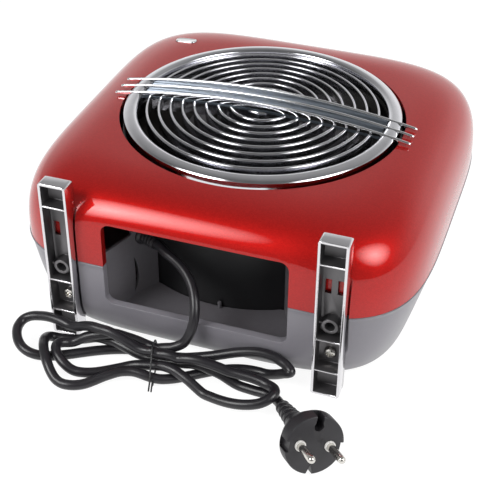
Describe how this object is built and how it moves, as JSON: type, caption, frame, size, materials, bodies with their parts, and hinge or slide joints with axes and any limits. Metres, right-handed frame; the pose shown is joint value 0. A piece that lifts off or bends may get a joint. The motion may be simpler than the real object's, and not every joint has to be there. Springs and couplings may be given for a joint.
{
  "type": "fan heater",
  "caption": "Retro fan heater lying on its back: rounded two-part housing, round grille of concentric rings under arched bars, two channel feet, cord compartment and a tied mains cord.",
  "frame": {"origin": "On the floor under the fan axis. The heater lies on its back, so Z=0 is the plane of the rear wall and of the rear ends of the two feet. X and Y are the centre of the heater's box, without the loose cord.", "axes": "+Z is the fan axis, out through the front grille. +Y is the heater's upper side, which carries the controls. -Y is its underside with the feet and the cord compartment. +X is to the viewer's right when the grille is seen from the front."},
  "size_m": [0.2758, 0.3648, 0.1248],
  "materials": {
    "red": "glossy metallic red with a clear coat",
    "grey": "satin mid grey",
    "dark_grey": "matt dark grey",
    "chrome": "bright plated",
    "web": "satin blue-grey",
    "black": "matt black",
    "cord": "satin black",
    "steel": "bare",
    "copper": null,
    "mica": "mica board",
    "element": "plain fins",
    "white_plastic": "plain",
    "lens": "tinted, see-through look"
  },
  "bodies": {
    "housing": {"badge_plate": "chrome", "front_shell": "red", "rear_shell": "grey", "grille": "chrome", "bar_upper": "chrome", "bar_middle": "chrome", "bar_lower": "chrome", "bar_web": "web", "left_foot": "chrome", "right_foot": "chrome", "left_foot_screw": "steel", "right_foot_screw": "steel", "shell_screw_1": "steel", "shell_screw_2": "steel", "shell_screw_3": "steel", "shell_screw_4": "steel", "air_duct": "black", "cord_bay": "dark_grey", "cord_bush": "black", "rear_grille": "grey", "motor_bracket": "steel", "motor_stator": "steel", "motor_coil": "copper", "rear_bearing_bridge": "steel", "front_bearing_bridge": "steel", "heater_frame": "mica", "heating_element": "element", "thermal_cutout": "steel", "control_panel": "black", "pilot_lens": "lens", "thermostat": "white_plastic", "mode_switch": "white_plastic", "terminal_block": "white_plastic", "plug_body": "black", "plug_pin_left": "steel", "plug_pin_right": "steel", "plug_sleeve": "black", "cord_tie": "black", "cord_lead": "cord", "cord_hank": "cord"},
    "fan": {"fan_wheel": "black", "motor_rotor": "steel"},
    "thermostat_dial": {"thermostat_knob": "black", "thermostat_shaft": "steel"},
    "mode_dial": {"mode_knob": "black", "mode_shaft": "steel"}
  },
  "joints": [
    {"name": "fan_spin", "type": "hinge", "parent": "housing", "child": "fan", "pos_m": [0, 0, 0.05], "axis": [0, 0, 1], "continuous": true},
    {"name": "thermostat_turn", "type": "hinge", "parent": "housing", "child": "thermostat_dial", "pos_m": [-0.033, 0.128, 0.031], "axis": [0, 1, 0], "range_deg": [0, 270]},
    {"name": "mode_turn", "type": "hinge", "parent": "housing", "child": "mode_dial", "pos_m": [0.033, 0.128, 0.031], "axis": [0, 1, 0], "range_deg": [0, 135]}
  ]
}
